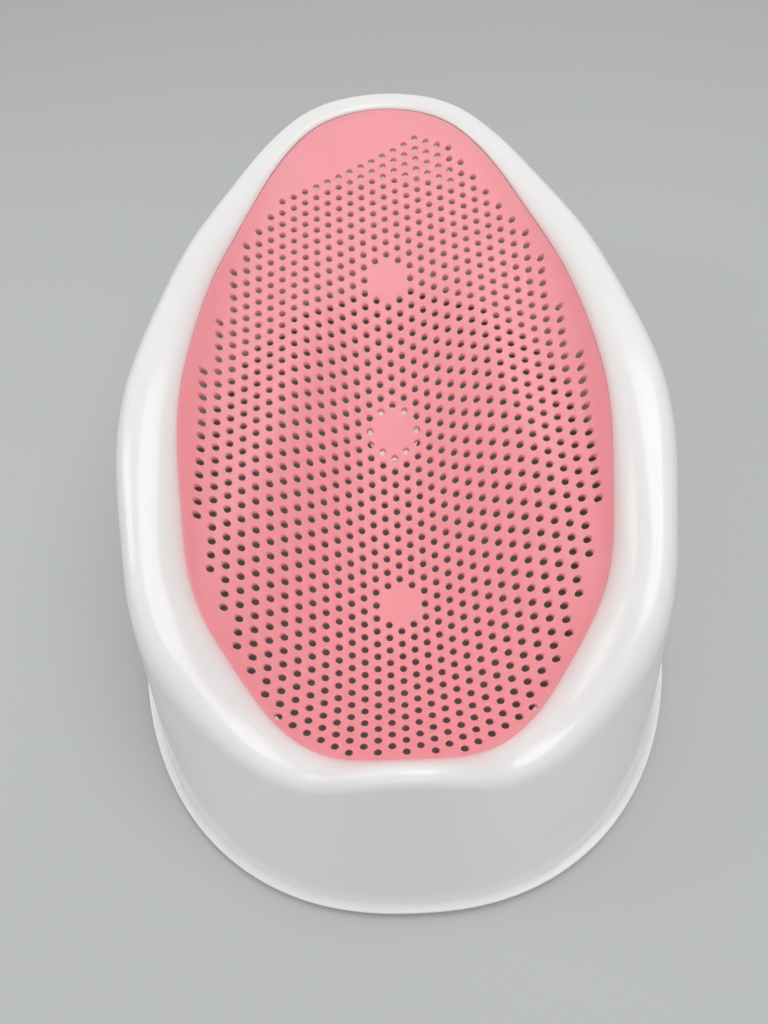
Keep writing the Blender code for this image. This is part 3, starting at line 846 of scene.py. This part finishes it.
def add_side_slots(bm):
    """Oval finger openings through both side walls."""
    flat = (SIDE_SLOT_LENGTH - SIDE_SLOT_HEIGHT) / 2
    radius = SIDE_SLOT_HEIGHT / 2
    outline = []
    for end, start in ((flat, -90), (-flat, 90)):
        for step in range(180 // SIDE_SLOT_STEP + 1):
            turn = math.radians(start + SIDE_SLOT_STEP * step)
            outline.append((end + radius * math.cos(turn), radius * math.sin(turn)))
    for side in (-1, 1):
        x = side * RIM_WIDTH / 4
        place = [Vector((x, SIDE_SLOT_Y + along, SIDE_SLOT_Z + up)) for along, up in outline]
        prism(bm, place, Vector((side * BASE_WIDTH / 2, 0, 0)))


def build_shell(settings, seat_thickness):
    turns = turns_round(settings.stations)
    bm = bmesh.new()
    loft(bm, shell_rows(turns, seat_thickness), False)
    bm.normal_update()
    highest = max(bm.faces, key=lambda face: face.calc_center_median().z)
    if highest.normal.z < 0:
        bmesh.ops.reverse_faces(bm, faces=bm.faces)
    material = plastic("white_gloss_plastic", settings.colour, settings.roughness)
    shell = new_piece("shell", bm, material)
    wall = shell.modifiers.new("Wall", "SOLIDIFY")
    wall.thickness = settings.wall
    wall.offset = -1
    wall.use_even_offset = True
    wall.use_quality_normals = True

    ledge_under = ledge_depth(seat_thickness) + settings.wall
    feet = [Matrix.Translation(place) for place in foot_places()]
    added = bmesh.new()
    boss_low = FOOT_DISC_HEIGHT + GAP
    add_pins(added, feet, BOSS_RADIUS, boss_low, boss_low + BOSS_HEIGHT, BOSS_SIDES)
    pads = axis_placements(ledge_under + SCREW_PAD_HEIGHT)
    add_pins(added, pads, SCREW_PAD_RADIUS, 0.0, SCREW_PAD_HEIGHT + settings.wall / 2, SCREW_SIDES)
    bosses = cut_or_join(shell, added, "UNION")

    cuts = bmesh.new()
    stem_reach = FOOT_DISC_HEIGHT + STEM_LENGTH + GAP
    add_pins(cuts, feet, STEM_RADIUS + GAP, 0.0, stem_reach, STEM_BORE_SIDES)
    bores = axis_placements(ledge_under + 2 * SCREW_PAD_HEIGHT)
    screw_reach = 2 * SCREW_PAD_HEIGHT + settings.wall + FRAME_THICKNESS / 2
    add_pins(cuts, bores, SCREW_RADIUS + GAP, 0.0, screw_reach, BORE_SIDES)
    add_hang_slot(cuts)
    add_side_slots(cuts)
    openings = cut_or_join(shell, cuts, "DIFFERENCE")
    make_plain(shell, SHELL_SMOOTH)
    discard(bosses, openings)
    settle(shell, "white_gloss_shell", "bath_shell")


# ---- Seat ----


def seat_sheet(seat):
    """Closed curved sheet. Its top is a square net that is drawn out to the seat's outline."""
    across = 72
    round_off = 0.0006
    lines = np.linspace(-1, 1, across + 1)
    u, v = np.meshgrid(lines, lines, indexing="ij")
    disc_x = u * np.sqrt(1 - v * v / 2)
    disc_y = v * np.sqrt(1 - u * u / 2)
    share = np.hypot(disc_x, disc_y)
    turns = np.degrees(np.arctan2(disc_x, disc_y)) % 360
    reach = seat_edge_radius(half_angle(turns)) - GAP - round_off
    x, y = on_ray(turns, share * reach)
    top = seat_layer(x, y, 0.0)
    bottom = seat_layer(x, y, seat.thickness)

    bm = bmesh.new()
    layers = []
    for points, upward in ((top, True), (bottom, False)):
        verts = [[bm.verts.new(points[i, j]) for j in range(across + 1)] for i in range(across + 1)]
        for i in range(across):
            for j in range(across):
                ring = [verts[i][j], verts[i + 1][j], verts[i + 1][j + 1], verts[i][j + 1]]
                bm.faces.new(ring if upward else ring[::-1])
        layers.append(verts)
    border = [(i, 0) for i in range(across)] + [(across, j) for j in range(across)]
    border += [(i, across) for i in range(across, 0, -1)] + [(0, j) for j in range(across, 0, -1)]
    border_turns = np.array([turns[i, j] for i, j in border])
    rows = [[layers[0][i][j] for i, j in border]]
    near = round_off * 0.3
    for inset, depth in ((near, near), (0.0, round_off), (0.0, seat.thickness - round_off)):
        ring = seat_ring(border_turns, GAP + inset, depth)
        rows.append([bm.verts.new(point) for point in ring])
    rows.append([layers[1][i][j] for i, j in border])
    for upper, lower in zip(rows, rows[1:]):
        for i in range(len(border)):
            k = (i + 1) % len(border)
            bm.faces.new((upper[i], lower[i], lower[k], upper[k]))
    face_out(bm)
    return bm


def hole_field():
    """Flat outline of the holes' field: a margin inside the seat's edge, with a peak at the head."""
    margin_at = smooth_curve(FIELD_MARGIN, True)
    bm = bmesh.new()
    centre = bm.verts.new((0, 0, 0))
    rim = []
    for turn in turns_round(FIELD_TURNS):
        angle = half_angle(turn)
        radius = float(seat_edge_radius(angle) - margin_at(angle))
        x, y = on_ray(turn, radius)
        while y > FIELD_PEAK[1] - FIELD_SLOPE * abs(x - FIELD_PEAK[0]) or y < FIELD_FOOT_Y:
            radius -= FIELD_STEP
            x, y = on_ray(turn, radius)
        rim.append(bm.verts.new((x, y, 0)))
    for i, vert in enumerate(rim):
        bm.faces.new((centre, vert, rim[(i + 1) % len(rim)]))
    return bm


def hole_cutter(seat):
    """Cutter of one hole, with a rounded upper edge. Its height 0 lies on the sheet's surface."""
    radius = seat.hole_radius
    edge = seat.hole_edge
    half_turn = math.radians(45)
    profile = [
        (radius, -3 * seat.thickness),
        (radius, -edge),
        (radius + edge * (1 - math.sin(half_turn)), -edge * (1 - math.cos(half_turn))),
        (radius + edge, edge * 0.02),
        (radius + edge, seat.thickness / 2),
    ]
    bm = bmesh.new()
    turned(bm, profile, HOLE_SIDES)
    face_out(bm)
    return bm


def build_seat(seat):
    material = plastic("pink_soft_elastomer", seat.colour)
    sheet = new_piece("perforated_seat", seat_sheet(seat), material)
    field = new_piece("hole_field", hole_field())
    cutter = new_piece("hole_cutter", hole_cutter(seat))
    values = {"Field": field, "Hole cutter": cutter, "Material": material}
    perforation_tree(seat).put_on(sheet, values)
    make_plain(sheet, SEAT_SMOOTH)
    discard(field, cutter)
    settle(sheet, "pink_soft_seat", "mesh_seat")
    build_rib(seat, material)


def collar_ring(section, sides, top_height):
    """Closed ring round the collar's axis. A level of None stands for the height of its top."""
    turns = turns_round(sides)
    rings = []
    for radius, level in section:
        x, y = on_ray(turns, radius)
        y = y + COLLAR_Y
        height = top_height(x, y) if level is None else np.full_like(x, level)
        rings.append(np.stack([x, y, height], axis=-1))
    bm = bmesh.new()
    loft(bm, rings, True)
    face_out(bm)
    return bm


def build_rib(seat, material):
    """Short round rib under the middle disc, with a bead that the collar's lip holds."""
    outer = COLLAR_RADIUS - COLLAR_WALL - GAP
    neck = outer - COLLAR_LIP
    inner = neck - RIB_WALL
    bead_top = collar_lip_height(seat) - GAP
    section = [
        (outer, bead_top - RIB_BEAD_HEIGHT),
        (outer, bead_top),
        (neck, bead_top),
        (neck, None),
        (inner, None),
        (inner, bead_top - RIB_BEAD_HEIGHT),
    ]
    ring = collar_ring(section, RIB_SIDES, lambda x, y: seat_height(x, y) - seat.thickness)
    rib = new_piece("seat_rib", ring, material)
    make_plain(rib, FITTING_SMOOTH)
    settle(rib, "pink_soft_seat")


# ---- Ring, collar, screws and feet ----


def build_ring(seat_thickness, material):
    top = seat_thickness + GAP
    bottom = top + FRAME_THICKNESS
    bevel = 0.0004
    corners = (
        (GAP + bevel, top),
        (GAP, top + bevel),
        (GAP, bottom - bevel),
        (GAP + bevel, bottom),
        (FRAME_WIDTH - bevel, bottom),
        (FRAME_WIDTH, bottom - bevel),
        (FRAME_WIDTH, top + bevel),
        (FRAME_WIDTH - bevel, top),
    )
    turns = turns_round(FRAME_SIDES)
    bm = bmesh.new()
    loft(bm, [seat_ring(turns, inset, depth) for inset, depth in corners], True)
    face_out(bm)
    ring = new_piece("seat_ring", bm, material)
    cuts = bmesh.new()
    placements = axis_placements(bottom + FRAME_THICKNESS)
    add_pins(cuts, placements, SCREW_RADIUS + GAP, 0.0, 3 * FRAME_THICKNESS, BORE_SIDES)
    bores = cut_or_join(ring, cuts, "DIFFERENCE")
    make_plain(ring, SHELL_SMOOTH)
    discard(bores)
    settle(ring, "white_frame", "seat_frame")


def collar_top(seat, x, y):
    slant = seat_normals(x, y)[..., 2]
    return seat_height(x, y) - (seat.thickness + GAP) / slant


def collar_lip_height(seat):
    return float(collar_top(seat, np.array(0.0), np.array(COLLAR_Y - COLLAR_RADIUS))) - COLLAR_LIP


def build_collar(seat, material):
    """White ring under the middle disc, with a slanted top and an inward lip."""
    low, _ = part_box("centre_collar")
    inner = COLLAR_RADIUS - COLLAR_WALL
    throat = inner - COLLAR_LIP
    lip = collar_lip_height(seat)
    bevel = 0.0005
    section = (
        (COLLAR_RADIUS - bevel, low.z),
        (COLLAR_RADIUS, low.z + bevel),
        (COLLAR_RADIUS, None),
        (throat, None),
        (throat, lip),
        (inner, lip),
        (inner, low.z + bevel),
        (inner + bevel, low.z),
    )
    ring = collar_ring(section, COLLAR_SIDES, lambda x, y: collar_top(seat, x, y))
    collar = new_piece("collar", ring, material)
    make_plain(collar, SHELL_SMOOTH)
    settle(collar, "white_frame", "centre_collar")


def screw_source(shank):
    """Pan-head screw along Z, its head's underside at height 0, with a cross recess."""
    bm = bmesh.new()
    head = SCREW_HEAD_HEIGHT
    profile = [(SCREW_HEAD_RADIUS * SCREW_FLAT_SHARE, -head)]
    for turn in (60, 35, 10):
        out = SCREW_HEAD_RADIUS * max(math.cos(math.radians(turn)), SCREW_DOME_SHARE)
        profile.append((out, -head * math.sin(math.radians(turn))))
    profile += [(SCREW_HEAD_RADIUS, 0.0), (SCREW_RADIUS, 0.0)]
    profile += [(SCREW_RADIUS, shank - SCREW_RADIUS), (SCREW_TIP, shank)]
    turned(bm, profile, SCREW_SIDES)
    face_out(bm)
    screw = new_piece("screw_source", bm)
    cross = bmesh.new()
    for long_x, long_y in (SCREW_RECESS, SCREW_RECESS[::-1]):
        placement = Matrix.Translation((0, 0, -head)) @ Matrix.Diagonal((long_x, long_y, head * 0.9, 1))
        bmesh.ops.create_cube(cross, size=1.0, matrix=placement)
    recess = cut_or_join(screw, cross, "DIFFERENCE")
    screw.modifiers[0].use_self = True
    make_plain(screw)
    discard(recess)
    return screw


def build_screws(shell_wall, seat_thickness, material):
    depth = ledge_depth(seat_thickness) + shell_wall + SCREW_PAD_HEIGHT + GAP
    shank = depth - seat_thickness - 3 * GAP
    places, axes = screw_seats(depth)
    screws = set_fittings("screws", screw_source(shank), places, axes, material)
    nodes = [f"frame_screw_{number:02d}" for number in range(1, len(places) + 1)]
    settle(screws, "screw_steel", *nodes)


def foot_source():
    """Soft foot along Z: a disc with two grip grooves below and a stem."""
    bevel = 0.0008
    groove = 0.0005
    profile = [(FOOT_CORE_RADIUS, 0.0)]
    for middle in (FOOT_RADIUS * share for share in GROOVE_SHARES):
        profile += [(middle - groove, 0.0), (middle, groove), (middle + groove, 0.0)]
    profile += [
        (FOOT_RADIUS - bevel, 0.0),
        (FOOT_RADIUS - bevel * 0.3, bevel * 0.3),
        (FOOT_RADIUS, bevel),
        (FOOT_RADIUS, FOOT_DISC_HEIGHT - bevel),
        (FOOT_RADIUS - bevel, FOOT_DISC_HEIGHT),
        (STEM_RADIUS, FOOT_DISC_HEIGHT),
        (STEM_RADIUS, FOOT_DISC_HEIGHT + STEM_LENGTH - bevel),
        (STEM_RADIUS - bevel, FOOT_DISC_HEIGHT + STEM_LENGTH),
    ]
    bm = bmesh.new()
    turned(bm, profile, FOOT_SIDES)
    face_out(bm)
    return new_piece("foot_source", bm)


# ---- Operators ----


class BATHSUPPORT_OT_shell(bpy.types.Operator):
    """Make the white shell with its rolled rim, ledge, bosses and openings"""

    bl_idname = "bath_support.make_shell"
    bl_label = "Shell"

    def execute(self, context):
        build_shell(context.scene.bath_shell, context.scene.bath_seat.thickness)
        return {"FINISHED"}


class BATHSUPPORT_OT_seat(bpy.types.Operator):
    """Make the soft pink seat with its holes, and the rib under its middle disc"""

    bl_idname = "bath_support.make_seat"
    bl_label = "Perforated seat"

    def execute(self, context):
        build_seat(context.scene.bath_seat)
        return {"FINISHED"}


class BATHSUPPORT_OT_ring_and_collar(bpy.types.Operator):
    """Make the stiff ring under the seat's border and the collar under its middle disc"""

    bl_idname = "bath_support.make_ring_and_collar"
    bl_label = "Ring and collar"

    def execute(self, context):
        material = plastic("white_matte_plastic", context.scene.bath_fittings.white)
        build_ring(context.scene.bath_seat.thickness, material)
        build_collar(context.scene.bath_seat, material)
        return {"FINISHED"}


class BATHSUPPORT_OT_screws(bpy.types.Operator):
    """Set the screws that hold the ring from below"""

    bl_idname = "bath_support.make_screws"
    bl_label = "Screws"

    def execute(self, context):
        material = plastic("plain_steel", context.scene.bath_fittings.steel)
        build_screws(context.scene.bath_shell.wall, context.scene.bath_seat.thickness, material)
        return {"FINISHED"}


class BATHSUPPORT_OT_feet(bpy.types.Operator):
    """Set the four soft feet in the base"""

    bl_idname = "bath_support.make_feet"
    bl_label = "Feet"

    def execute(self, context):
        material = plastic("grey_soft_rubber", context.scene.bath_fittings.foot_grey)
        places = foot_places()
        feet = set_fittings("feet", foot_source(), places, [(0, 0, 1)] * len(places), material)
        settle(feet, "grey_soft_foot", *FOOT_NODES)
        return {"FINISHED"}


class BATHSUPPORT_OT_stage(bpy.types.Operator):
    """Make the floor, the light and the camera"""

    bl_idname = "bath_support.make_stage"
    bl_label = "Stage"

    def execute(self, context):
        settings = context.scene.bath_stage
        make_floor(settings)
        make_sky(settings)
        make_lamps(settings)
        make_camera()
        context.scene.view_settings.view_transform = "Standard"
        return {"FINISHED"}


def make_floor(settings):
    material = finish_material("floor_paint")
    shader = material.node_tree.nodes["Principled BSDF"]
    shader.inputs["Base Color"].default_value = (*settings.floor_colour, 1)
    shader.inputs["Roughness"].default_value = FLOOR_ROUGHNESS
    shader.inputs["Specular IOR Level"].default_value = FLOOR_SPECULAR
    bm = bmesh.new()
    below = Matrix.Translation((0, 0, -FLOOR_GAP))
    bmesh.ops.create_grid(bm, x_segments=4, y_segments=4, size=FLOOR_HALF, matrix=below)
    new_piece("floor", bm, material)


def make_sky(settings):
    world = bpy.data.worlds.new("soft_sky")
    bpy.context.scene.world = world
    world.use_nodes = True
    background = world.node_tree.nodes["Background"]
    background.inputs["Color"].default_value = (1.0, 1.0, 1.0, 1)
    background.inputs["Strength"].default_value = settings.sky


def add_lamp(name, setup, power):
    place, size, share = setup
    lamp = bpy.data.lights.new(name, "AREA")
    lamp.shape = "RECTANGLE"
    lamp.size = size[0]
    lamp.size_y = size[1]
    lamp.energy = power * share
    thing = bpy.data.objects.new(name, lamp)
    thing.location = place
    thing.rotation_mode = "QUATERNION"
    thing.rotation_quaternion = (Vector(LAMP_AIM) - Vector(place)).to_track_quat("-Z", "Y")
    bpy.context.scene.collection.objects.link(thing)


def make_lamps(settings):
    add_lamp("key_lamp", KEY_LAMP, settings.key)
    add_lamp("left_lamp", LEFT_LAMP, settings.fill)
    add_lamp("foot_lamp", FOOT_LAMP, settings.fill)


def make_camera():
    data = bpy.data.cameras.new("camera")
    data.sensor_width = SENSOR_WIDTH
    data.lens = CAMERA_LENS
    camera = bpy.data.objects.new("camera", data)
    camera.location = CAMERA_PLACE
    camera.rotation_euler = [math.radians(turn) for turn in CAMERA_TURN]
    bpy.context.scene.collection.objects.link(camera)
    bpy.context.scene.camera = camera


class BATHSUPPORT_PT_panel(bpy.types.Panel):
    """Sizes, colours and makers of the bath support"""

    bl_label = "Bath support"
    bl_idname = "BATHSUPPORT_PT_panel"
    bl_space_type = "VIEW_3D"
    bl_region_type = "UI"
    bl_category = "Bath support"

    def draw(self, context):
        layout = self.layout
        for group_name, operators in PANEL_ROWS:
            box = layout.box()
            group = getattr(context.scene, group_name)
            for setting in group.__annotations__:
                box.prop(group, setting)
            for operator in operators:
                box.operator(operator.bl_idname)


SETTINGS = {
    "bath_shell": ShellSettings,
    "bath_seat": SeatSettings,
    "bath_fittings": FittingSettings,
    "bath_stage": StageSettings,
}
PANEL_ROWS = (
    ("bath_shell", (BATHSUPPORT_OT_shell,)),
    ("bath_seat", (BATHSUPPORT_OT_seat,)),
    ("bath_fittings", (BATHSUPPORT_OT_ring_and_collar, BATHSUPPORT_OT_screws, BATHSUPPORT_OT_feet)),
    ("bath_stage", (BATHSUPPORT_OT_stage,)),
)
OPERATORS = [operator for _, operators in PANEL_ROWS for operator in operators]


def register():
    for name, group in SETTINGS.items():
        bpy.utils.register_class(group)
        setattr(bpy.types.Scene, name, PointerProperty(type=group))
    for operator in OPERATORS:
        bpy.utils.register_class(operator)
    bpy.utils.register_class(BATHSUPPORT_PT_panel)


def unregister():
    bpy.utils.unregister_class(BATHSUPPORT_PT_panel)
    for operator in reversed(OPERATORS):
        bpy.utils.unregister_class(operator)
    for name, group in SETTINGS.items():
        delattr(bpy.types.Scene, name)
        bpy.utils.unregister_class(group)


def main():
    register()
    bpy.ops.bath_support.make_shell()
    bpy.ops.bath_support.make_seat()
    bpy.ops.bath_support.make_ring_and_collar()
    bpy.ops.bath_support.make_screws()
    bpy.ops.bath_support.make_feet()
    bpy.ops.bath_support.make_stage()


if __name__ == "__main__":
    main()
